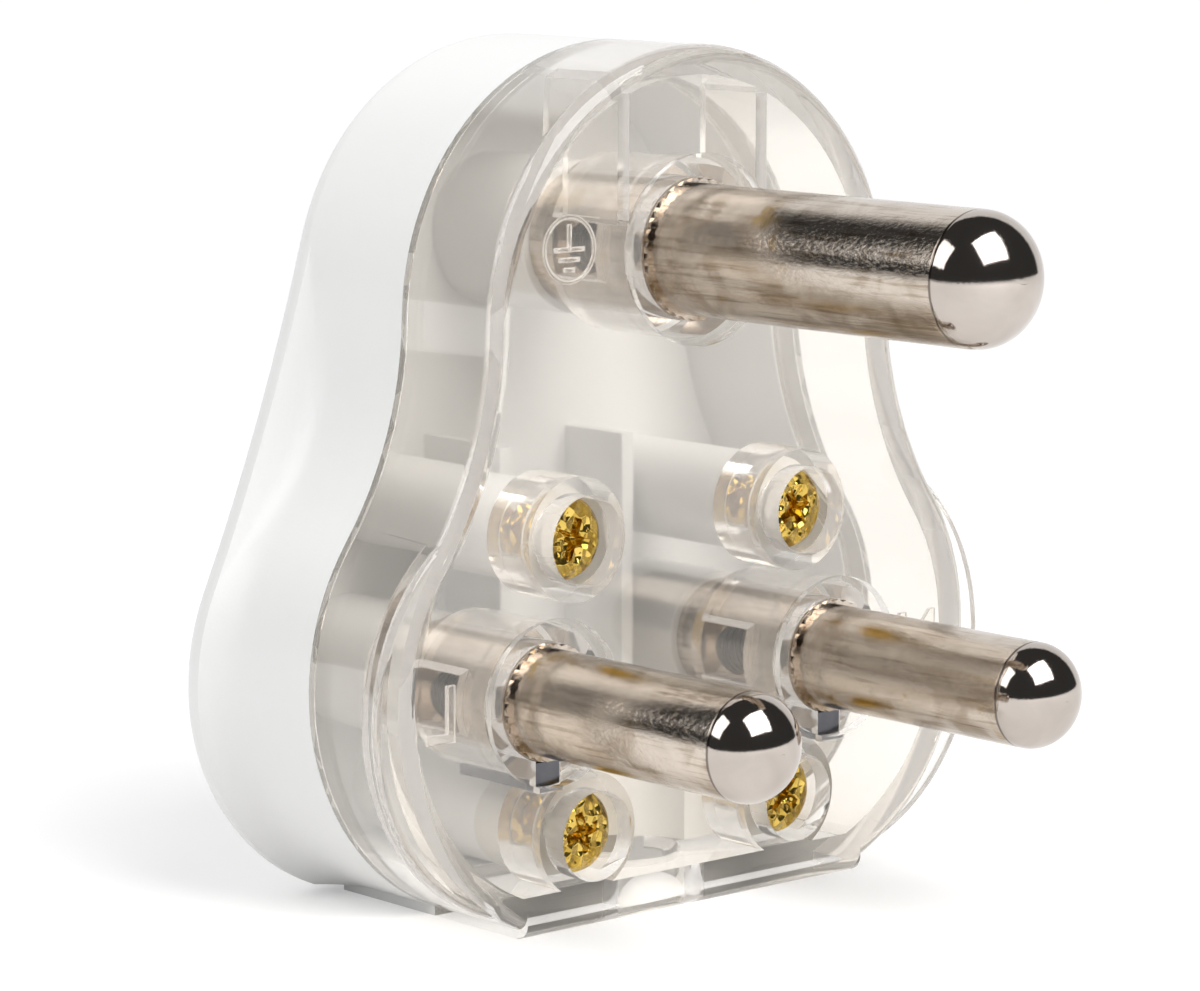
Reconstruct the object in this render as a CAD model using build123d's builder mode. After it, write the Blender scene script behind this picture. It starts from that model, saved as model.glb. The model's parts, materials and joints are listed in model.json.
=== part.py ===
from build123d import *
from math import sqrt
import os

# Rewirable three-pin plug top: a clear front shell with the pins, and a white back cover.
# +X is to the right as seen from the pins' side, +Y runs from the front face into the plug, +Z is up.
# The plug stands on the flat end of its cord entry. The origin is under the middle of its box.
# Heights are above that flat end, and depths are behind the front face.

# Pins: the round three-pin pattern of a 16 A plug
pin_spacing = 25.4        # between the axes of the live and neutral pins
pin_height = 15.4         # of the live and neutral axes
earth_rise = 28.6         # of the earth axis above the other two
line_diameter = 7.06      # live and neutral pins
earth_diameter = 8.71
line_reach = 21.1         # in front of the face, as the photograph gives it
earth_reach = 28.6
pin_wall = 0.9            # the pins are hollow
pin_depth = 13.0          # from the face to the pins' inner ends
tip_share = 0.85          # height of a pin's domed tip as a share of its radius
shank_step = 0.35         # the part of a pin inside the shell is this much thicker all round
shank_depth = 0.6         # where that part starts
collar_overhang = 0.9
collar_thickness = 1.0

# Terminals inside the pins
bush_depth = 4.5          # where the threaded bush starts
wire_hole_depth = 7.3
wire_hole_diameter = 3.4
terminal_screw_diameter = 3.2
terminal_head_diameter = 4.6
terminal_head_height = 1.7
terminal_head_gap = 0.3
driver_slot_width = 0.7
driver_slot_depth = 0.85

# Outline of the body, seen from the front
head_radius = 17.7
head_drop = 4.3           # of the head's centre below the earth pin
lobe_radius = 16.7
lobe_inset = 3.9          # of a lobe's centre from its pin, towards the middle
lobe_rise = 0.7           # of a lobe's centre above its pin
lobe_floor = 0.6          # height of the lobes' flat bottom
waist_radius = 25.0
lip_radius = 14.45        # front lip, about the live and neutral pins
rim_radius = 15.6         # rear finger rim
rim_inset = 1.5
rim_drop = 0.4
rim_waist_radius = 160.0
entry_width = 30.2        # block round the cord entry
entry_height = 8.0

# Depths of the body
body_depth = 22.4
parting_depth = 9.5       # where the clear shell ends and the white cover starts
rim_thickness = 2.7       # of the finger rim, in front of the back
flare_length = 3.3        # over which the cover flares out to its rim
flare_sections = 5
entry_back_gap = 3.2      # from the entry block to the back
lip_depth = 0.6
lip_thickness = 1.7

# Walls and edges
wall = 2.0
face_thickness = 2.0
face_edge = 1.2
lip_edge = 0.5
rear_edge = 2.4
tongue_thickness = 0.9
tongue_length = 1.6
shell_fit = 0.1           # between the tongue and its groove
part_fit = 0.05           # between pieces that touch

# Bosses of the clear shell
pin_boss_wall = 1.3
pin_boss_depth = 9.5
pin_recess_margin = 2.0
pin_recess_depth = 0.8
window_start = 4.9        # wire windows in the pins' bosses
window_height = 3.8
key_width = 2.0           # key that stops a live or neutral pin from turning
key_height = 1.9
head_rib_spacing = 12.2
head_rib_thickness = 1.0
head_rib_depth = 7.4

# Case screws
upper_screw_spacing = 20.0
upper_screw_rise = 10.3   # above the live and neutral pins
lower_screw_spacing = 18.2
lower_screw_drop = 9.3    # below the live and neutral pins
screw_boss_diameter = 8.3
screw_boss_depth = 6.2
screw_head_diameter = 5.6
screw_head_height = 2.0
screw_head_rim = 0.9      # height of the head's straight edge
screw_seat_depth = 3.4
screw_diameter = 3.5
screw_length = 12.0       # under the head
screw_point = 2.2
cross_width = 1.0
cross_span = 3.6
cross_depth = 1.4
cross_taper = 8           # degrees
screw_hole_fit = 0.2

# Back cover's posts and ribs
post_diameter = 6.8
post_gap = 0.1
stop_wall = 0.5           # rings that hold the pins from behind
stop_clearance = 0.4      # round the terminal screws' heads
barrier_spacing = 11.0
barrier_thickness = 1.0
barrier_depth = 14.5
barrier_bottom = 13.0
barrier_top = 30.0

# Cord entry and cord clamp
cord_hole_diameter = 8.8
clamp_height = 6.0
clamp_thickness = 2.8
clamp_pad_diameter = 7.6
cord_saddle_radius = 3.4
saddle_wall = 2.0

face_y = (earth_reach - body_depth) / 2
head_height = pin_height + earth_rise - head_drop
earth_height = pin_height + earth_rise
pins = {
    "earth": (0, earth_height, earth_diameter / 2, earth_reach),
    "live": (-pin_spacing / 2, pin_height, line_diameter / 2, line_reach),
    "neutral": (pin_spacing / 2, pin_height, line_diameter / 2, line_reach),
}
upper_screws = [(side * upper_screw_spacing / 2, pin_height + upper_screw_rise) for side in (-1, 1)]
lower_screws = [(side * lower_screw_spacing / 2, pin_height - lower_screw_drop) for side in (-1, 1)]
rim_depth = body_depth - rim_thickness
flare_depth = rim_depth - flare_length
entry_depth = body_depth - entry_back_gap
rear_inside = body_depth - wall
clamp_back = screw_boss_depth + clamp_thickness + 2 * part_fit
key_depth = pin_recess_depth + part_fit

os.makedirs("parts", exist_ok=True)


def behind(depth):
    """Plane parallel to the front face, with its normal towards the pins and its y upwards."""
    return Plane(origin=(0, face_y + depth, 0), x_dir=(1, 0, 0), z_dir=(0, -1, 0))


def keep(part, name):
    """Labels a finished piece and writes its file."""
    part.label = name
    export_step(part, f"parts/{name}.step")


def body_outline(inset=0.0, flare=0.0):
    """Face of the three-lobed outline, moved inwards by inset. flare blends the wall into the finger rim."""
    head_r = head_radius - inset
    lobe_r = lobe_radius + flare * (rim_radius - lobe_radius) - inset
    waist_r = 1 / ((1 - flare) / waist_radius + flare / rim_waist_radius) + inset
    lobe_x = pin_spacing / 2 - lobe_inset + flare * (lobe_inset - rim_inset)
    lobe_z = pin_height + lobe_rise - flare * (lobe_rise + rim_drop)
    floor = lobe_floor + inset

    head = Vector(0, head_height)
    lobe = Vector(lobe_x, lobe_z)
    down = (lobe - head).normalized()
    out = Vector(-down.Y, down.X)
    reach = (lobe - head).length
    along = ((head_r + waist_r) ** 2 - (lobe_r + waist_r) ** 2 + reach**2) / (2 * reach)
    aside = sqrt((head_r + waist_r) ** 2 - along**2)
    waist = head + down * along + out * aside
    neck = head + (waist - head).normalized() * head_r
    shoulder = lobe + (waist - lobe).normalized() * lobe_r
    foot = Vector(lobe_x + sqrt(lobe_r**2 - (lobe_z - floor) ** 2), floor)

    with BuildSketch() as sketch:
        with BuildLine():
            RadiusArc((0, head_height + head_r), neck, head_r)
            RadiusArc(neck, shoulder, -waist_r)
            RadiusArc(shoulder, foot, lobe_r)
            Line(foot, (0, floor))
            mirror(about=Plane.YZ)
        make_face()
    return sketch.sketch


wall_outline = body_outline()
cavity_outline = body_outline(inset=wall)
groove_outline = body_outline(inset=wall - tongue_thickness - shell_fit)
tongue_outline = body_outline(inset=wall - tongue_thickness)
rim_outline = body_outline(flare=1.0)
flare_steps = [section / (flare_sections - 1) for section in range(flare_sections)]
flare_outlines = [body_outline(flare=step**2) for step in flare_steps]

# Clear front shell: face, side wall, front lip, and bosses for the pins and the case screws
with BuildPart() as front_shell:
    with BuildSketch(behind(0)):
        add(wall_outline)
    extrude(amount=-parting_depth)
    fillet(front_shell.faces().sort_by(Axis.Y)[0].edges(), face_edge)
    with BuildSketch(behind(lip_depth)):
        with Locations((-pin_spacing / 2, pin_height), (pin_spacing / 2, pin_height)):
            Circle(lip_radius)
    extrude(amount=-lip_thickness)
    arcs = front_shell.edges().filter_by(GeomType.CIRCLE)
    fillet(arcs.filter_by(lambda arc: abs(arc.radius - lip_radius) < part_fit), lip_edge)
    with BuildSketch(behind(0)):
        Rectangle(entry_width, entry_height, align=(Align.CENTER, Align.MIN))
    extrude(amount=-parting_depth)
    fillet(front_shell.edges().group_by(Axis.Z)[0].sort_by(Axis.Y)[0], face_edge)

    # Hollow inside, and the tongue that enters the cover's groove
    with BuildSketch(behind(parting_depth)):
        add(tongue_outline)
    extrude(amount=-tongue_length)
    with BuildSketch(behind(face_thickness)):
        add(cavity_outline)
    extrude(amount=face_thickness - parting_depth - tongue_length, mode=Mode.SUBTRACT)

    # Bosses and ribs behind the face
    for x, z, radius, reach in pins.values():
        with BuildSketch(behind(face_thickness)):
            with Locations((x, z)):
                Circle(radius + shank_step + pin_boss_wall)
        extrude(amount=face_thickness - pin_boss_depth)
    with BuildSketch(behind(face_thickness)):
        with Locations(*upper_screws, *lower_screws):
            Circle(screw_boss_diameter / 2)
    extrude(amount=face_thickness - screw_boss_depth)
    with BuildSketch(behind(face_thickness)):
        with Locations((0, earth_height + window_height / 2)):
            with GridLocations(head_rib_spacing, 0, 2, 1):
                Rectangle(head_rib_thickness, head_radius, align=(Align.CENTER, Align.MIN))
        add(tongue_outline, mode=Mode.INTERSECT)
    extrude(amount=face_thickness - head_rib_depth)

    # Holes for the pins, with the recess round each one and windows for its wire
    for x, z, radius, reach in pins.values():
        shank = radius + shank_step
        with BuildSketch(behind(0)):
            with Locations((x, z)):
                Circle(radius + pin_recess_margin)
        extrude(amount=-pin_recess_depth, mode=Mode.SUBTRACT)
        with BuildSketch(behind(0)):
            with Locations((x, z)):
                Circle(shank + part_fit)
        extrude(amount=-pin_boss_depth, mode=Mode.SUBTRACT)
        with BuildSketch(Plane.YZ):
            with Locations((face_y + pin_boss_depth, z)):
                Rectangle(pin_boss_depth - window_start, window_height, align=(Align.MAX, Align.CENTER))
        extrude(amount=abs(x) + shank + pin_boss_wall, both=True, mode=Mode.SUBTRACT)

    # Keyways under the live and neutral pins, open to the recess round each pin
    key_drop = line_diameter / 2 + shank_step + part_fit
    with BuildSketch(behind(pin_recess_depth)):
        with Locations((-pin_spacing / 2, pin_height - key_drop), (pin_spacing / 2, pin_height - key_drop)):
            Rectangle(key_width + 2 * part_fit, 2 * (key_height + part_fit))
    extrude(amount=pin_recess_depth - pin_boss_depth, mode=Mode.SUBTRACT)

    with Locations(behind(0)):
        with Locations(*upper_screws, *lower_screws):
            CounterBoreHole(
                screw_diameter / 2 + screw_hole_fit,
                screw_head_diameter / 2 + screw_hole_fit,
                screw_seat_depth,
                screw_boss_depth,
            )
    with BuildSketch():
        with Locations((0, face_y + parting_depth)):
            Circle(cord_hole_diameter / 2)
    extrude(amount=entry_height, mode=Mode.SUBTRACT)
keep(front_shell.part, "front_shell")

# White back cover: side wall, flared finger rim, groove, posts and ribs
with BuildPart() as back_cover:
    with BuildSketch(behind(parting_depth)):
        add(wall_outline)
    extrude(amount=parting_depth - flare_depth)
    for step, outline in zip(flare_steps, flare_outlines):
        with BuildSketch(behind(flare_depth + step * flare_length)):
            add(outline)
    loft()
    with BuildSketch(behind(rim_depth)):
        add(rim_outline)
    extrude(amount=-rim_thickness)
    fillet(back_cover.faces().sort_by(Axis.Y)[-1].edges(), rear_edge)
    with BuildSketch(behind(parting_depth)):
        Rectangle(entry_width, entry_height, align=(Align.CENTER, Align.MIN))
    extrude(amount=parting_depth - entry_depth)

    with BuildSketch(behind(parting_depth)):
        add(cavity_outline)
    extrude(amount=parting_depth - rear_inside, mode=Mode.SUBTRACT)
    with BuildSketch(behind(parting_depth)):
        add(groove_outline)
    extrude(amount=-tongue_length - shell_fit, mode=Mode.SUBTRACT)

    # Posts for the case screws: the lower pair starts behind the cord clamp
    for places, start in ((upper_screws, screw_boss_depth), (lower_screws, clamp_back)):
        with BuildSketch(behind(start + post_gap)):
            with Locations(*places):
                Circle(post_diameter / 2)
        extrude(amount=start + post_gap - rear_inside)
    with BuildSketch(behind(screw_boss_depth)):
        with Locations(*upper_screws, *lower_screws):
            Circle(screw_diameter / 2 + part_fit)
    extrude(amount=screw_boss_depth - screw_seat_depth - screw_length - part_fit, mode=Mode.SUBTRACT)

    # Rings that hold the pins in from behind, and walls that keep the live and neutral wires apart
    for x, z, radius, reach in pins.values():
        with BuildSketch(behind(pin_depth + part_fit)):
            with Locations((x, z)):
                Circle(radius + shank_step + stop_wall)
                Circle(terminal_head_diameter / 2 + stop_clearance, mode=Mode.SUBTRACT)
        extrude(amount=pin_depth + part_fit - rear_inside)
    with BuildSketch(behind(barrier_depth)):
        with Locations((0, (barrier_bottom + barrier_top) / 2)):
            with GridLocations(barrier_spacing, 0, 2, 1):
                Rectangle(barrier_thickness, barrier_top - barrier_bottom)
    extrude(amount=barrier_depth - rear_inside)

    with BuildSketch():
        with Locations((0, face_y + parting_depth)):
            Circle(cord_hole_diameter / 2)
    extrude(amount=entry_height, mode=Mode.SUBTRACT)
keep(back_cover.part, "back_cover")

# Pins with their terminals: each pin is a closed tube, with a threaded bush and a screw in its inner end
for name, (x, z, radius, reach) in pins.items():
    axis = Axis((x, 0, z), (0, 1, 0))
    shank = radius + shank_step
    tip = tip_share * radius
    bore = radius - pin_wall
    collar = pin_boss_depth + part_fit
    wire_hole = Plane(origin=(x, face_y + wire_hole_depth, z), z_dir=(1, 0, 0))
    side = Plane(origin=(x, face_y, z))

    with BuildPart() as pin:
        with BuildSketch(side):
            with BuildLine():
                EllipticalCenterArc((0, tip - reach), radius, tip, start_angle=270, arc_size=90)
                Polyline(
                    (radius, tip - reach),
                    (radius, shank_depth),
                    (shank, shank_depth),
                    (shank, collar),
                    (shank + collar_overhang, collar),
                    (shank + collar_overhang, collar + collar_thickness),
                    (shank, collar + collar_thickness),
                    (shank, pin_depth),
                    (bore, pin_depth),
                    (bore, tip - reach),
                )
                EllipticalCenterArc((0, tip - reach), bore, tip - pin_wall, start_angle=270, arc_size=90)
                Line((0, -reach), (0, pin_wall - reach))
            make_face()
        revolve(axis=axis)
        with BuildSketch(wire_hole):
            Circle(wire_hole_diameter / 2)
        extrude(amount=shank, both=True, mode=Mode.SUBTRACT)
    keep(pin.part, f"{name}_pin")

    with BuildPart() as bush:
        with BuildSketch(behind(bush_depth)):
            with Locations((x, z)):
                Circle(bore - part_fit)
                Circle(terminal_screw_diameter / 2 + part_fit, mode=Mode.SUBTRACT)
        extrude(amount=bush_depth - pin_depth)
        with BuildSketch(wire_hole):
            Circle(wire_hole_diameter / 2)
        extrude(amount=radius, both=True, mode=Mode.SUBTRACT)
    keep(bush.part, f"{name}_terminal_bush")

    with BuildPart() as terminal_screw:
        head_seat = pin_depth + terminal_head_gap
        with BuildSketch(behind(head_seat)):
            with Locations((x, z)):
                Circle(terminal_screw_diameter / 2)
        extrude(amount=head_seat - wire_hole_depth - wire_hole_diameter / 2)
        with BuildSketch(behind(head_seat)):
            with Locations((x, z)):
                Circle(terminal_head_diameter / 2)
        extrude(amount=-terminal_head_height)
        with BuildSketch(behind(head_seat + terminal_head_height)):
            with Locations((x, z)):
                Rectangle(driver_slot_width, terminal_head_diameter)
        extrude(amount=driver_slot_depth, mode=Mode.SUBTRACT)
    keep(terminal_screw.part, f"{name}_terminal_screw")

# Keys under the live and neutral pins
for name in ("live", "neutral"):
    x, z, radius, reach = pins[name]
    with BuildPart() as key:
        with BuildSketch(behind(key_depth)):
            with Locations((x, z - key_drop)):
                Rectangle(key_width, key_height, align=(Align.CENTER, Align.MAX))
        extrude(amount=key_depth - pin_boss_depth)
    keep(key.part, f"{name}_pin_key")

# Cord clamp: a bar with a saddle for the cord, held by the lower case screws
with BuildPart() as cord_clamp:
    clamp_front = screw_boss_depth + part_fit
    clamp_middle = pin_height - lower_screw_drop
    clamp_bottom = clamp_middle - clamp_height / 2
    with BuildSketch(behind(clamp_front)):
        with Locations((0, clamp_middle)):
            SlotOverall(lower_screw_spacing + clamp_pad_diameter, clamp_height)
    extrude(amount=-clamp_thickness)
    arch_radius = cord_saddle_radius + saddle_wall
    with BuildSketch(Plane.XY.offset(clamp_bottom)):
        with Locations((0, face_y + clamp_front)):
            Circle(arch_radius)
            Rectangle(2 * arch_radius, arch_radius, align=(Align.CENTER, Align.MAX), mode=Mode.SUBTRACT)
    extrude(amount=clamp_height)
    with BuildSketch(Plane.XY.offset(clamp_bottom)):
        with Locations((0, face_y + clamp_front)):
            Circle(cord_saddle_radius)
    extrude(amount=clamp_height, mode=Mode.SUBTRACT)
    with BuildSketch(behind(clamp_front)):
        with Locations(*lower_screws):
            Circle(screw_diameter / 2 + part_fit)
    extrude(amount=-clamp_thickness, mode=Mode.SUBTRACT)
keep(cord_clamp.part, "cord_clamp")

# Case screws: domed heads with a cross recess, and a pointed end
screw_names = ("upper_left", "upper_right", "lower_left", "lower_right")
for name, (x, z) in zip(screw_names, upper_screws + lower_screws):
    with BuildPart() as case_screw:
        with BuildSketch(Plane(origin=(x, face_y + screw_seat_depth, z))):
            with BuildLine():
                TangentArc(
                    (0, -screw_head_height),
                    (screw_head_diameter / 2, -screw_head_rim),
                    tangent=(1, 0),
                )
                Polyline(
                    (screw_head_diameter / 2, -screw_head_rim),
                    (screw_head_diameter / 2, 0),
                    (screw_diameter / 2, 0),
                    (screw_diameter / 2, screw_length - screw_point),
                    (0, screw_length),
                    (0, -screw_head_height),
                )
            make_face()
        revolve(axis=Axis((x, 0, z), (0, 1, 0)))
        with BuildSketch(behind(screw_seat_depth - screw_head_height)):
            with Locations((x, z)):
                Rectangle(cross_span, cross_width)
                Rectangle(cross_width, cross_span)
        extrude(amount=-cross_depth, taper=cross_taper, mode=Mode.SUBTRACT)
    keep(case_screw.part, f"case_screw_{name}")
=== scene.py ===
import json
from math import cos, pi, radians, sin

import bpy
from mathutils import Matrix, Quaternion, Vector

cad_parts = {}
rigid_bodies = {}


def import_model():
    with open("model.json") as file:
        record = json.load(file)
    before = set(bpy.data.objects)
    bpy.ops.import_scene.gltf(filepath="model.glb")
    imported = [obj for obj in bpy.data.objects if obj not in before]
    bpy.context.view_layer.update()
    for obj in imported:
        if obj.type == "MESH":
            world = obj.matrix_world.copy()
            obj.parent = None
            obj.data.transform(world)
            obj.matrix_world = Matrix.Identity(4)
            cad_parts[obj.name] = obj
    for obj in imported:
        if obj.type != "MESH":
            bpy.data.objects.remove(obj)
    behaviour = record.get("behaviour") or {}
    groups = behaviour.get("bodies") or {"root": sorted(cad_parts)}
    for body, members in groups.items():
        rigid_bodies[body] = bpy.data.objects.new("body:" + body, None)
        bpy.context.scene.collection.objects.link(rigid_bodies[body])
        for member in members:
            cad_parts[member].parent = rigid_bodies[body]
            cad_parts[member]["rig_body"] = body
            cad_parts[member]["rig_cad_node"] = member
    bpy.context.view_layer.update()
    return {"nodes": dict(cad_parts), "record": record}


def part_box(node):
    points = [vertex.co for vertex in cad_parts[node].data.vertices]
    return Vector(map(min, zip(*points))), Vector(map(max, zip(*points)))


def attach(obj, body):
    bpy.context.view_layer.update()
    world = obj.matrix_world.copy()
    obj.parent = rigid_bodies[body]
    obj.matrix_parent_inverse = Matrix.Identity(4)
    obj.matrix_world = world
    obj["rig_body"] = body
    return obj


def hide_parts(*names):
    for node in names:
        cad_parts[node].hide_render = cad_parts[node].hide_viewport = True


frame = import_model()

MM = 0.001
nodes = frame["nodes"]


def axis_height(node):
    """Height of the axis of a round piece that runs along Y."""
    low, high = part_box(node)
    return (low.z + high.z) / 2


# Places on the plug

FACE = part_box("front_shell")[0].y
INSIDE = FACE + 2.0 * MM
LINE_HEIGHT, EARTH_HEIGHT = axis_height("live_pin"), axis_height("earth_pin")
LINE_SIDE = 12.7 * MM
LINE_SHANK_RADIUS, EARTH_SHANK_RADIUS = 3.88 * MM, 4.7 * MM
COLLAR_OVERHANG = 0.9 * MM
WIRE_HOLE_DEPTH, WIRE_HOLE_RADIUS = FACE + 7.3 * MM, 1.7 * MM


# Shading: values are written as expressions, and every other node comes from add()

class Signal:
    """An output socket. Arithmetic on signals adds Math nodes."""

    def __init__(self, shading, socket):
        self.shading = shading
        self.socket = socket

    def math(self, operation, *terms):
        return self.shading.add("ShaderNodeMath", {"operation": operation}, dict(enumerate(terms)))

    def __add__(self, other):
        return self.math("ADD", self, other)

    def __sub__(self, other):
        return self.math("SUBTRACT", self, other)

    def __mul__(self, other):
        return self.math("MULTIPLY", self, other)

    def __rsub__(self, other):
        return self.math("SUBTRACT", other, self)

    __radd__ = __add__
    __rmul__ = __mul__

    def maximum(self, other):
        return self.math("MAXIMUM", self, other)

    def size(self):
        return self.math("ABSOLUTE", self)

    def above(self, low, high):
        """0 below low, 1 over high, and a smooth step between them."""
        return self.shading.add(
            "ShaderNodeMapRange",
            {"interpolation_type": "SMOOTHSTEP"},
            {"Value": self, "From Min": low, "From Max": high},
        )


class Shading:
    """The node tree of a material or of the world."""

    def __init__(self, tree):
        self.tree = tree
        tree.nodes.clear()

    def add(self, kind, settings=None, sockets=None, output=0):
        """Adds a node, makes its settings, fills or links its sockets, and returns one output."""
        node = self.tree.nodes.new(kind)
        for name, value in (settings or {}).items():
            setattr(node, name, value)
        for name, value in (sockets or {}).items():
            if isinstance(value, Signal):
                self.tree.links.new(value.socket, node.inputs[name])
            else:
                node.inputs[name].default_value = value
        return Signal(self, node.outputs[output])

    def place(self, scale=(1, 1, 1), turn=(0, 0, 0)):
        """Object coordinates, stretched and turned."""
        where = self.add("ShaderNodeTexCoord", output="Object")
        return self.add("ShaderNodeMapping", None, {"Vector": where, "Scale": scale, "Rotation": turn})

    def part(self, where, axis):
        """One of the X, Y and Z parts of a place or a colour."""
        return self.add("ShaderNodeSeparateXYZ", None, {0: where}, axis)

    def measure(self, operation, where, other=(0, 0, 0)):
        """A number worked out from one or two vectors."""
        return self.add("ShaderNodeVectorMath", {"operation": operation}, {0: where, 1: other}, "Value")

    def ray(self, kind):
        return self.add("ShaderNodeLightPath", output=kind)

    def noise(self, where, size, detail=3.0, rough=0.5, bend=0.0):
        return self.add(
            "ShaderNodeTexNoise",
            None,
            {"Vector": where, "Scale": 1 / size, "Detail": detail, "Roughness": rough, "Distortion": bend},
        )

    def blend(self, share, first, second):
        """A colour between two others."""
        return self.add("ShaderNodeMix", {"data_type": "RGBA"}, {0: share, 6: first, 7: second}, 2)

    def outside_wire_hole(self, height):
        """0 inside the wire hole that crosses a pin at this height, and 1 round it."""
        away = self.measure("DISTANCE", self.place(scale=(0, 1, 1)), (0, WIRE_HOLE_DEPTH, height))
        return away.above(WIRE_HOLE_RADIUS + 0.02 * MM, WIRE_HOLE_RADIUS + 0.1 * MM)

    def bump(self, height, depth, strength=1.0):
        return self.add("ShaderNodeBump", None, {"Height": height, "Distance": depth, "Strength": strength})

    def finish(self, shader, output="ShaderNodeOutputMaterial"):
        node = self.tree.nodes.new(output)
        self.tree.links.new(shader.socket, node.inputs["Surface"])

    def finish_metal(self, colour, rough, normal):
        self.finish(self.add("ShaderNodeBsdfPrincipled", None, {
            "Base Color": colour,
            "Metallic": 1.0,
            "Roughness": rough,
            "Normal": normal,
        }))


def paint(name):
    material = bpy.data.materials.new(name)
    material.use_nodes = True
    return material, Shading(material.node_tree)


def rgb(red, green, blue):
    return (red, green, blue, 1)


def clear_plastic():
    """Clear moulding. Lamps shine through it, and a ray that bounces too often in it ends on a painted pale
    grey glow, which stands in for the light it would have found.
    """
    material, s = paint("clear_plastic")
    where = s.place()
    flow = s.noise(where, 14 * MM, 1.0)
    haze = s.noise(where, 3 * MM, 4.0)
    plastic = s.add("ShaderNodeBsdfPrincipled", None, {
        "Base Color": s.blend(flow, rgb(0.955, 0.93, 0.895), rgb(0.975, 0.955, 0.925)),
        "Roughness": 0.03 + haze * 0.04,
        "IOR": 1.58,
        "Transmission Weight": 0.93,
        "Normal": s.bump(flow, 0.12 * MM, 0.5),
    })
    passing = s.add("ShaderNodeBsdfTransparent", None, {"Color": rgb(0.99, 0.975, 0.955)})
    clear = s.add("ShaderNodeMixShader", None, {0: s.ray("Is Shadow Ray"), 1: plastic, 2: passing})
    # Painted light: a pale grey glow in place of the light that rays lost after too many bounces would find
    glow = s.add("ShaderNodeEmission", None, {"Color": rgb(0.66, 0.62, 0.58), "Strength": 0.85})
    lost = s.ray("Ray Depth").above(8.4, 8.6).maximum(s.ray("Glossy Depth").above(2.4, 2.6))
    s.finish(s.add("ShaderNodeMixShader", None, {0: lost, 1: clear, 2: glow}))
    return material


def moulded_plastic(name, colour, shade):
    material, s = paint(name)
    where = s.place()
    cloud = s.noise(where, 9 * MM, 2.0)
    grain = s.noise(where, 0.22 * MM, 2.0)
    s.finish(s.add("ShaderNodeBsdfPrincipled", None, {
        "Base Color": s.blend(cloud, rgb(*colour), rgb(*shade)),
        "Roughness": 0.3 + cloud * 0.1,
        "IOR": 1.5,
        "Normal": s.bump(grain, 0.012 * MM, 0.6),
    }))
    return material


def nickel_plate(name, tip, height, radius):
    """Plated pin: bright dome in front of depth tip, and a scuffed shaft with painted shade that makes it
    browner underneath, and painted shade inside the wire hole.
    """
    material, s = paint(name)
    where = s.place()
    streak = s.noise(s.place(scale=(1, 0.05, 1)), 0.35 * MM, 4.0, 0.6)
    scuff = s.noise(s.place(scale=(1, 0.5, 1), turn=(0.3, 0.2, 0.5)), 0.22 * MM, 5.0, 0.7, 1.0)
    cloud = s.noise(where, 3.2 * MM, 4.0, bend=0.8)
    spot = s.noise(where, 5 * MM, 5.0, 0.65).above(0.6, 0.68)
    depth = s.part(where, "Y")
    shaft = depth.above(tip, tip + 0.08 * MM)
    seam = 1 - (depth - tip).size().above(0.04 * MM, 0.16 * MM)
    # Painted shade: below the axis the plating is painted browner and darker, added to the real discolouring
    # in clouds and streaks
    under = (height - s.part(where, "Z")).above(0, radius)
    tarnish_and_underside_shade = cloud.above(0.36, 0.72) * 0.5 + under * 0.45 + streak.above(0.48, 0.66) * 0.4
    dome = s.blend(cloud, rgb(0.56, 0.51, 0.47), rgb(0.42, 0.37, 0.33))
    plate = s.blend(tarnish_and_underside_shade.above(0, 1.2), rgb(0.60, 0.53, 0.46), rgb(0.24, 0.17, 0.10))
    plate = s.blend(spot * 0.7, plate, rgb(0.42, 0.28, 0.09))
    plate = s.blend(shaft, dome, plate)
    # Painted shade: the wall of the wire hole is painted near black
    plate = s.blend(s.outside_wire_hole(height), rgb(0.07, 0.05, 0.035), plate)
    scratches = shaft * (streak * 0.6 + scuff * 1.6) + scuff * 0.3
    s.finish_metal(s.blend(seam * 0.75, plate, rgb(0.08, 0.06, 0.05)),
                   0.06 + shaft * cloud * 0.07 + scuff * 0.03,
                   s.bump(scratches - seam, 0.009 * MM, 0.8))
    return material


def bush_brass(name, height):
    """Turned brass, with painted shade that makes it near black inside the wire hole."""
    material, s = paint(name)
    where = s.place()
    cloud = s.noise(where, 1.6 * MM, 3.0)
    grain = s.noise(where, 0.4 * MM, 3.0)
    turned = s.blend(cloud, rgb(0.78, 0.60, 0.28), rgb(0.70, 0.52, 0.24))
    # Painted shade: near black inside the wire hole
    s.finish_metal(s.blend(s.outside_wire_hole(height), rgb(0.08, 0.055, 0.03), turned),
                   0.25 + cloud * 0.1,
                   s.bump(grain, 0.01 * MM, 0.5))
    return material


def metal(name, colour, shade, rough, grain_size=0.4 * MM):
    material, s = paint(name)
    where = s.place()
    cloud = s.noise(where, 1.6 * MM, 3.0)
    grain = s.noise(where, grain_size, 3.0)
    s.finish_metal(s.blend(cloud, rgb(*colour), rgb(*shade)),
                   rough + grain * 0.1,
                   s.bump(grain, 0.01 * MM, 0.5))
    return material


def gold_plate():
    """Rough-struck screw metal that sparkles in small facets."""
    material, s = paint("gold_plate")
    cell = {"Vector": s.place(), "Scale": 1 / (0.75 * MM), "Randomness": 1.0}
    facet = s.add("ShaderNodeTexVoronoi", {"feature": "SMOOTH_F1"}, {**cell, "Smoothness": 0.25}, "Distance")
    shade = s.part(s.add("ShaderNodeTexVoronoi", None, cell, "Color"), "X")
    s.finish_metal(s.blend(shade, rgb(0.78, 0.56, 0.14), rgb(0.50, 0.32, 0.05)),
                   0.10 + shade * 0.12,
                   s.bump(facet, 0.5 * MM, 0.75))
    return material


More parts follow.
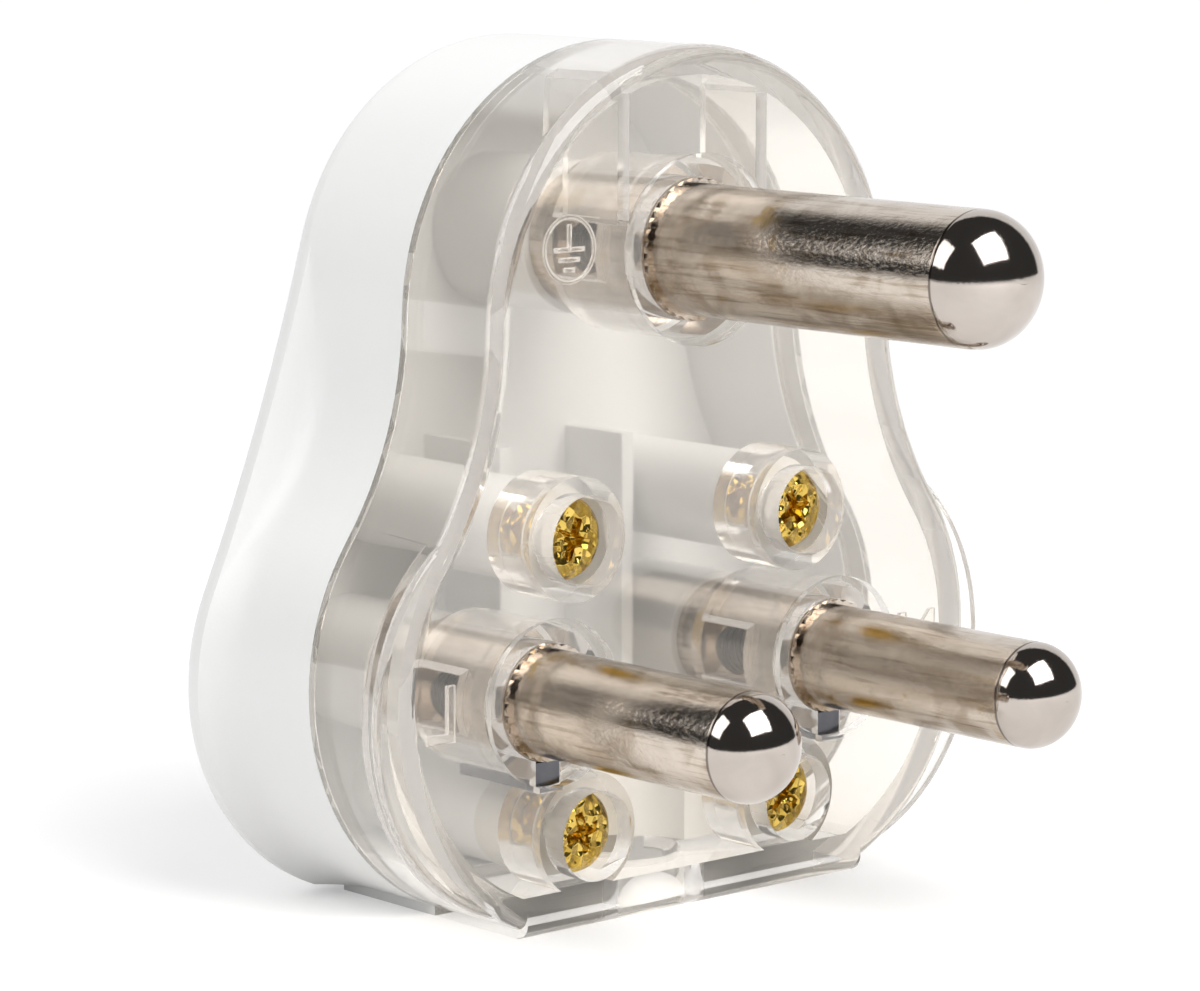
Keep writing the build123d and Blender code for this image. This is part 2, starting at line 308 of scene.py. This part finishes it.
finishes = {
    "clear_plastic": clear_plastic(),
    "white_plastic": moulded_plastic("white_plastic", (0.80, 0.80, 0.795), (0.82, 0.82, 0.81)),
    "clamp_plastic": moulded_plastic("clamp_plastic", (0.72, 0.70, 0.66), (0.68, 0.66, 0.62)),
    "nickel": nickel_plate("nickel_plate", -15.0 * MM, LINE_HEIGHT, 3.5 * MM),
    "brass": bush_brass("turned_brass", LINE_HEIGHT),
    # Painted shade: the threads inside the wire holes are brass painted near black, because the holes are in
    # shade
    "grimy_brass": metal("grimy_brass", (0.13, 0.085, 0.04), (0.05, 0.04, 0.03), 0.3),
    "terminal_steel": metal("plated_steel", (0.62, 0.61, 0.60), (0.52, 0.51, 0.50), 0.28),
    "dark_steel": metal("dark_steel", (0.16, 0.16, 0.17), (0.07, 0.07, 0.08), 0.18, 0.7 * MM),
    "gold_screw": gold_plate(),
}
for subpart in frame["record"]["subparts"]:
    mesh = nodes[subpart["node"]].data
    mesh.materials.clear()
    mesh.materials.append(finishes[subpart["material_slot"]])
earth_plate = nickel_plate("nickel_plate_earth", -21.8 * MM, EARTH_HEIGHT, 4.4 * MM)
nodes["earth_pin"].data.materials[0] = earth_plate
nodes["earth_terminal_bush"].data.materials[0] = bush_brass("turned_brass_earth", EARTH_HEIGHT)


# Modelling

def deselect():
    bpy.ops.object.select_all(action="DESELECT")


def take(piece):
    deselect()
    piece.select_set(True)
    bpy.context.view_layer.objects.active = piece


def primitive(kind, name, **sizes):
    """Adds a primitive and applies its place to its mesh."""
    deselect()
    getattr(bpy.ops.mesh, f"primitive_{kind}_add")(**sizes)
    piece = bpy.context.object
    piece.name = name
    settle(piece)
    return piece


def settle(piece):
    take(piece)
    bpy.ops.object.transform_apply(location=True, rotation=True, scale=True)


def modify(piece, kind, **settings):
    take(piece)
    modifier = piece.modifiers.new(kind.lower(), kind)
    for name, value in settings.items():
        setattr(modifier, name, value)
    bpy.ops.object.modifier_apply(modifier=modifier.name)


def smooth(piece, degrees):
    take(piece)
    bpy.ops.object.shade_smooth_by_angle(angle=radians(degrees))


def edit(piece, *steps):
    """Runs edit-mode operators on the faces, edges or points that are selected."""
    take(piece)
    bpy.ops.object.mode_set(mode="EDIT")
    for step in steps:
        step()
    bpy.ops.object.mode_set(mode="OBJECT")


def select_all():
    bpy.ops.mesh.select_all(action="SELECT")


def face_outwards():
    bpy.ops.mesh.normals_make_consistent(inside=False)


def resize(x, y, z):
    return lambda: bpy.ops.transform.resize(value=(x, y, z))


def extrude(depth):
    """Draws the selected faces out along Y."""
    return lambda: bpy.ops.mesh.extrude_region_move(TRANSFORM_OT_translate={"value": (0, depth, 0)})


def pick(piece, kind, wanted):
    """Selects the vertices or polygons that pass the test, and nothing else."""
    take(piece)
    bpy.context.tool_settings.mesh_select_mode = (kind == "vertices", False, kind == "polygons")
    for part in (*piece.data.vertices, *piece.data.edges, *piece.data.polygons):
        part.select = False
    for part in getattr(piece.data, kind):
        part.select = wanted(part)


def join(name, pieces):
    take(pieces[0])
    for piece in pieces:
        piece.select_set(True)
    bpy.ops.object.join()
    whole = bpy.context.object
    whole.name = name
    return whole


def ridge(name, size, place, turn, axis, rise, turns, steps):
    """A three-sided thread wound round an axis and closed at both ends."""
    thread = primitive("circle", name, vertices=3, radius=size, fill_type="NOTHING",
                       location=place, rotation=turn)
    modify(thread, "SCREW", angle=2 * pi, axis=axis, screw_offset=rise, iterations=turns,
           steps=steps, render_steps=steps, use_merge_vertices=False)
    edit(thread, select_all, lambda: bpy.ops.mesh.fill_holes(sides=4), face_outwards)
    return thread


def dress(piece, finish, slot, *replaced):
    piece.data.materials.clear()
    piece.data.materials.append(finish)
    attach(piece, "root")
    if replaced:
        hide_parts(*replaced)


# Case screws: a domed head with a pressed cross, and a coarse thread

HEAD_RADIUS, HEAD_HEIGHT, CROWN_ROUNDING = 2.8 * MM, 2.0 * MM, 1.0 * MM
CROSS_LENGTH, CROSS_WIDTH, CROSS_DEPTH = 3.5 * MM, 0.85 * MM, 1.4 * MM
CORE_RADIUS, PITCH = 1.2 * MM, 1.25 * MM
SHAFT_LENGTH, POINT_LENGTH = 12.0 * MM, 2.2 * MM


def screw_head():
    """Head with its seat at y = 0 and its crown towards -Y."""
    head = primitive("cylinder", "head", vertices=64, radius=HEAD_RADIUS, depth=HEAD_HEIGHT,
                     location=(0, -HEAD_HEIGHT / 2, 0), rotation=(pi / 2, 0, 0))
    pick(head, "polygons", lambda face: face.normal.y < -0.9)
    edit(head, lambda: bpy.ops.mesh.bevel(offset=CROWN_ROUNDING, offset_pct=0, segments=6, profile=0.5,
                                          affect="EDGES"))
    # Each blade is half as tall again as the cross is deep, and so stands out of the crown
    blades = []
    for turn in (0, pi / 2):
        blade = primitive("cube", "blade", size=1, location=(0, CROSS_DEPTH / 4 - HEAD_HEIGHT, 0),
                          scale=(CROSS_LENGTH, CROSS_DEPTH * 1.5, CROSS_WIDTH))
        pick(blade, "polygons", lambda face: face.normal.y > 0.9)
        edit(blade, resize(0.42, 1, 0.5))
        blade.rotation_euler = (0, turn, 0)
        settle(blade)
        blades.append(blade)
    for blade in blades:
        modify(head, "BOOLEAN", operation="DIFFERENCE", solver="EXACT", object=blade)
        bpy.data.objects.remove(blade)
    modify(head, "BEVEL", width=0.09 * MM, segments=2, limit_method="ANGLE", angle_limit=radians(32))
    return head


def screw_shaft():
    straight = SHAFT_LENGTH - POINT_LENGTH
    shaft = primitive("cylinder", "shaft", vertices=32, radius=CORE_RADIUS, depth=straight,
                      location=(0, straight / 2, 0), rotation=(pi / 2, 0, 0))
    pick(shaft, "polygons", lambda face: face.normal.y > 0.9)
    edit(shaft, extrude(POINT_LENGTH), resize(0.15, 1, 0.15))
    thread = ridge("thread", 0.42 * MM, (CORE_RADIUS + 0.12 * MM, 1.3 * MM, 0), (0, 0, -pi / 2), "Y",
                   PITCH, 6, 32)
    return join("shaft", [shaft, thread])


screw = join("case_screw", [screw_head(), screw_shaft()])
smooth(screw, 30)
for corner, turn in (("upper_left", 20), ("upper_right", 62), ("lower_left", 75), ("lower_right", 38)):
    node = f"case_screw_{corner}"
    low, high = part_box(node)
    copy = screw.copy()
    copy.data = screw.data.copy()
    copy.name = f"{node}_threaded"
    bpy.context.scene.collection.objects.link(copy)
    copy.rotation_euler = (0, radians(turn), 0)
    copy.location = ((low.x + high.x) / 2, low.y + HEAD_HEIGHT, (low.z + high.z) / 2)
    settle(copy)
    dress(copy, finishes["gold_screw"], "gold_screw", node)
bpy.data.objects.remove(screw)


# Knurled edge where each pin's thicker part starts, in the recess of the clear face

TOOTH_WIDTH, TOOTH_HEIGHT = 0.13 * MM, 0.15 * MM
KNURL_DEPTH, KNURL_LENGTH = 0.62 * MM, 0.25 * MM


def knurl(name, x, z, radius, finish):
    ring = primitive("circle", name, vertices=2 * round(radius / TOOTH_WIDTH), radius=radius,
                     fill_type="NGON", location=(x, FACE + KNURL_DEPTH, z), rotation=(pi / 2, 0, 0))
    bpy.context.tool_settings.transform_pivot_point = "MEDIAN_POINT"
    pick(ring, "vertices", lambda point: point.index % 2 == 0)
    shrink = 1 - TOOTH_HEIGHT / radius
    edit(ring, resize(shrink, 1, shrink), select_all, extrude(-KNURL_LENGTH), select_all, face_outwards)
    dress(ring, finish, "nickel")


knurl("live_knurl", -LINE_SIDE, LINE_HEIGHT, LINE_SHANK_RADIUS, finishes["nickel"])
knurl("neutral_knurl", LINE_SIDE, LINE_HEIGHT, LINE_SHANK_RADIUS, finishes["nickel"])
knurl("earth_knurl", 0, EARTH_HEIGHT, EARTH_SHANK_RADIUS, earth_plate)


# Threads cut in the wire holes, on both sides of each pin

THREAD_REACH, THREAD_TURNS = 2.4 * MM, 5


def wire_hole_thread(name, x, z, shank):
    """Winds inwards from just under the surface of the pin, on its left and on its right."""
    outer = shank - 0.35 * MM
    threads = []
    for start in (-outer, outer - THREAD_REACH):
        thread = ridge(name, 0.2 * MM, (0, WIRE_HOLE_RADIUS - 0.04 * MM, 0), (0, pi / 2, 0), "X",
                       THREAD_REACH / THREAD_TURNS, THREAD_TURNS, 40)
        thread.location = (x + start, WIRE_HOLE_DEPTH, z)
        settle(thread)
        threads.append(thread)
    whole = join(name, threads)
    smooth(whole, 35)
    # Painted shade: the threads take the brass painted near black for the shade in the wire hole
    dress(whole, finishes["grimy_brass"], "brass")


for name, height in (("earth", EARTH_HEIGHT), ("live", LINE_HEIGHT), ("neutral", LINE_HEIGHT)):
    low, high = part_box(f"{name}_pin")
    shank = (high.x - low.x) / 2 - COLLAR_OVERHANG
    wire_hole_thread(f"{name}_wire_hole_thread", (low.x + high.x) / 2, height, shank)


# Clear shell with softened moulded edges

moulding = nodes["front_shell"].copy()
moulding.data = nodes["front_shell"].data.copy()
moulding.name = "front_shell_moulding"
moulding.parent = None
bpy.context.scene.collection.objects.link(moulding)
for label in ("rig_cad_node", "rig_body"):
    del moulding[label]
edit(moulding, lambda: bpy.ops.mesh.customdata_custom_splitnormals_clear(), select_all,
     lambda: bpy.ops.mesh.remove_doubles(threshold=0.002 * MM),
     lambda: bpy.ops.mesh.dissolve_limited(angle_limit=radians(0.5)))
modify(moulding, "BEVEL", width=0.18 * MM, segments=3, limit_method="ANGLE", angle_limit=radians(40))
smooth(moulding, 35)
modify(moulding, "WEIGHTED_NORMAL", keep_sharp=True, weight=90)
dress(moulding, finishes["clear_plastic"], "clear_plastic", "front_shell")


# Terminal marks, moulded on the inside of the clear face and so turned round when seen from the pins

MARK_SIDE, LETTER_SIZE = 21.3 * MM, 5.2 * MM
RING_RADIUS, STROKE = 2.1 * MM, 0.34 * MM


def face_inwards(piece, x, z):
    """Turns a flat piece to face into the plug and moves it to the clear face."""
    piece.rotation_euler = (pi / 2, 0, pi)
    piece.location = (x, INSIDE - 0.02 * MM, z)
    settle(piece)


def letter(text, name, x, z):
    deselect()
    bpy.ops.object.text_add()
    mark = bpy.context.object
    mark.name = name
    mark.data.body = text
    mark.data.align_x, mark.data.align_y = "CENTER", "CENTER"
    mark.data.size = LETTER_SIZE
    mark.data.extrude = 0.14 * MM
    mark.data.bevel_depth = 0.09 * MM
    mark.data.bevel_resolution = 2
    bpy.ops.object.convert(target="MESH")
    face_inwards(bpy.context.object, x, z)
    dress(bpy.context.object, finishes["clear_plastic"], "clear_plastic")


def earth_mark(x, z):
    """A ring round a stem and three bars that shorten downwards."""
    parts = [primitive("torus", "ring", major_radius=RING_RADIUS, minor_radius=STROKE / 2,
                       major_segments=64, minor_segments=12)]
    strokes = [(STROKE, 1.7 * MM, 0.8 * MM)]
    for width, rise in ((2.6, 0.0), (1.8, -0.65), (1.0, -1.3)):
        strokes.append((width * MM, STROKE, rise * MM))
    for width, height, rise in strokes:
        bar = primitive("cube", "bar", size=1, location=(0, rise, 0), scale=(width, height, 0.3 * MM))
        modify(bar, "BEVEL", width=0.08 * MM, segments=2)
        parts.append(bar)
    mark = join("earth_mark", parts)
    face_inwards(mark, x, z)
    smooth(mark, 40)
    dress(mark, finishes["clear_plastic"], "clear_plastic")


letter("L", "live_mark", -MARK_SIDE, LINE_HEIGHT)
letter("N", "neutral_mark", MARK_SIDE, LINE_HEIGHT)
earth_mark(-10.7 * MM, EARTH_HEIGHT + 0.6 * MM)


# Camera at the photograph's angle

camera = bpy.data.objects.new("camera", bpy.data.cameras.new("camera"))
bpy.context.scene.collection.objects.link(camera)
azimuth, elevation, roll = radians(-41.47), radians(8.59), radians(0.12)
towards = Vector((sin(azimuth) * cos(elevation), -cos(azimuth) * cos(elevation), sin(elevation)))
camera.rotation_mode = "QUATERNION"
camera.rotation_quaternion = towards.to_track_quat("Z", "Y") @ Quaternion((0, 0, 1), roll)
camera.location = (-0.2004, -0.2135, 0.0723)
camera.data.sensor_width = 36
camera.data.lens = 135.7
camera.data.clip_start = 0.01
camera.data.clip_end = 20
bpy.context.scene.camera = camera


# Light, floor and background

PLUG_MIDDLE = (0, 0.005, 0.03)


def softbox(name, place, side, power):
    """A square lamp that points at the middle of the plug."""
    lamp = bpy.data.lights.new(name, "AREA")
    lamp.shape = "RECTANGLE"
    lamp.size, lamp.size_y = side, side
    lamp.energy = power
    stand = bpy.data.objects.new(name, lamp)
    bpy.context.scene.collection.objects.link(stand)
    stand.location = place
    stand.rotation_mode = "QUATERNION"
    stand.rotation_quaternion = (Vector(place) - Vector(PLUG_MIDDLE)).to_track_quat("Z", "Y")


def pale_floor():
    """Pale and matt. It glows a little where it is seen, and more towards its edges."""
    material, s = paint("pale_floor")
    through = s.ray("Is Transmission Ray")
    seen = s.ray("Is Camera Ray").maximum(s.ray("Is Glossy Ray")).maximum(through)
    away = s.measure("LENGTH", s.place())
    glow = seen * (0.3 + away.above(0.12, 1.2) * 0.34) + through * 0.1
    pale = s.add("ShaderNodeBsdfDiffuse", None, {"Color": rgb(0.8, 0.8, 0.8)})
    white = s.add("ShaderNodeEmission", None, {"Color": rgb(1, 1, 1), "Strength": glow})
    s.finish(s.add("ShaderNodeAddShader", None, {0: pale, 1: white}))
    return material


def studio():
    """White where it is seen. Mirrored, it is a dark room with a white wall behind the plug."""
    world = bpy.data.worlds.new("studio")
    world.use_nodes = True
    s = Shading(world.node_tree)
    seen, through, mirrored = s.ray("Is Camera Ray"), s.ray("Is Transmission Ray"), s.ray("Is Glossy Ray")
    direction = s.add("ShaderNodeTexCoord", output="Generated")
    behind = s.measure("DOT_PRODUCT", direction, (0.66, 0.75, 0))
    reflected = 0.05 + behind.above(0.55, 0.64) * 0.95
    refracted = 0.8
    spread = (1 - mirrored) * (1 - through) * 0.47
    level = seen + (1 - seen) * (mirrored * reflected + (1 - mirrored) * through * refracted + spread)
    light = s.add("ShaderNodeBackground", None, {"Color": rgb(1, 1, 1), "Strength": level})
    s.finish(light, "ShaderNodeOutputWorld")
    return world


softbox("left_light", (-0.56, 0.28, 0.50), 0.5, 2.0)
softbox("front_light", (0.04, -0.54, 0.62), 0.62, 5.9)

bpy.ops.mesh.primitive_plane_add(size=8)
floor = bpy.context.object
floor.name = "floor"
floor.data.materials.append(pale_floor())

bpy.context.scene.world = studio()
bpy.context.scene.view_settings.view_transform = "Standard"
